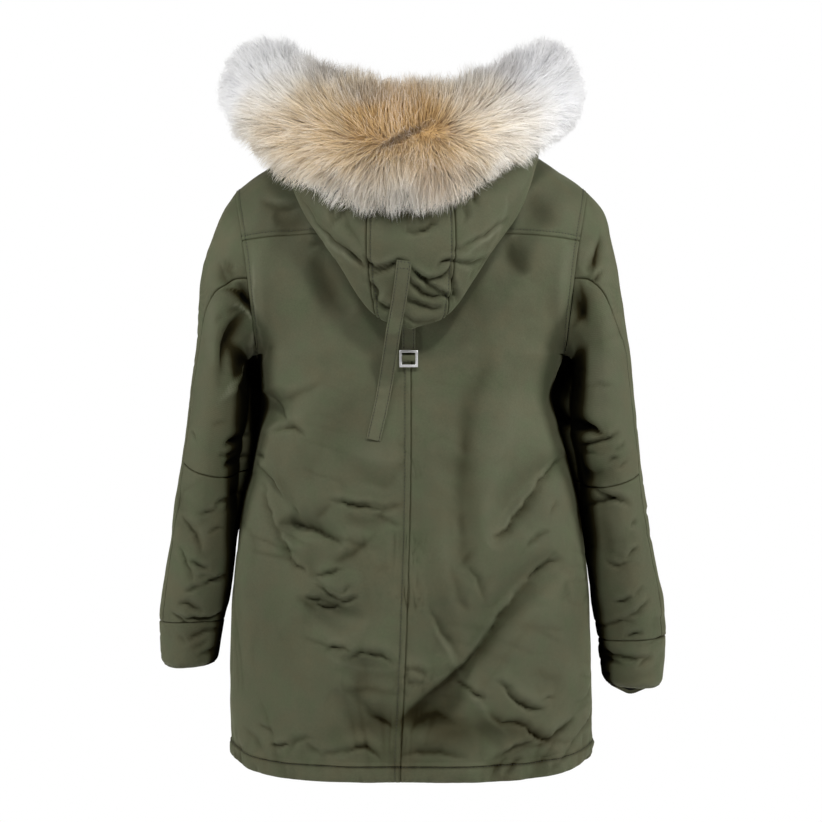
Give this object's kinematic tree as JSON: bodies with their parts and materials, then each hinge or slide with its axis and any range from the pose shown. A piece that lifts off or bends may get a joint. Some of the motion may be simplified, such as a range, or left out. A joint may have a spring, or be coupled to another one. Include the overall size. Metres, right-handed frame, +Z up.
{
  "type": "fur trimmed parka",
  "caption": "Hooded parka in olive cloth with a fur ruff round the hood, filled out and hollow, with the hood hanging down the back.",
  "frame": {"origin": "between the shoulders, in the middle of the neck opening, where the wearer's shoulders carry the coat", "axes": "+Z up, -Y out of the front, +X to the wearer's left"},
  "size_m": [0.6708, 0.4181, 0.9509],
  "materials": {
    "shell_cloth": "dense olive drab cloth with a soft sheen",
    "strap_cloth": "the shell cloth, folded and edge stitched",
    "fur": "long fur, golden at the centre and pale at the tips",
    "slider_metal": "polished grey metal"
  },
  "bodies": {
    "root": {"back_left": "shell_cloth", "back_right": "shell_cloth", "back_yoke": "shell_cloth", "front_left": "shell_cloth", "front_right": "shell_cloth", "storm_flap": "shell_cloth", "sleeve_top_left": "shell_cloth", "sleeve_top_right": "shell_cloth", "sleeve_under_upper_left": "shell_cloth", "sleeve_under_upper_right": "shell_cloth", "sleeve_under_lower_left": "shell_cloth", "sleeve_under_lower_right": "shell_cloth", "cuff_left": "shell_cloth", "cuff_right": "shell_cloth", "hood_left": "shell_cloth", "hood_centre": "shell_cloth", "hood_right": "shell_cloth", "hood_strap": "strap_cloth", "buckle_tab": "strap_cloth", "fur_ruff": "fur", "buckle": "slider_metal"}
  },
  "joints": []
}
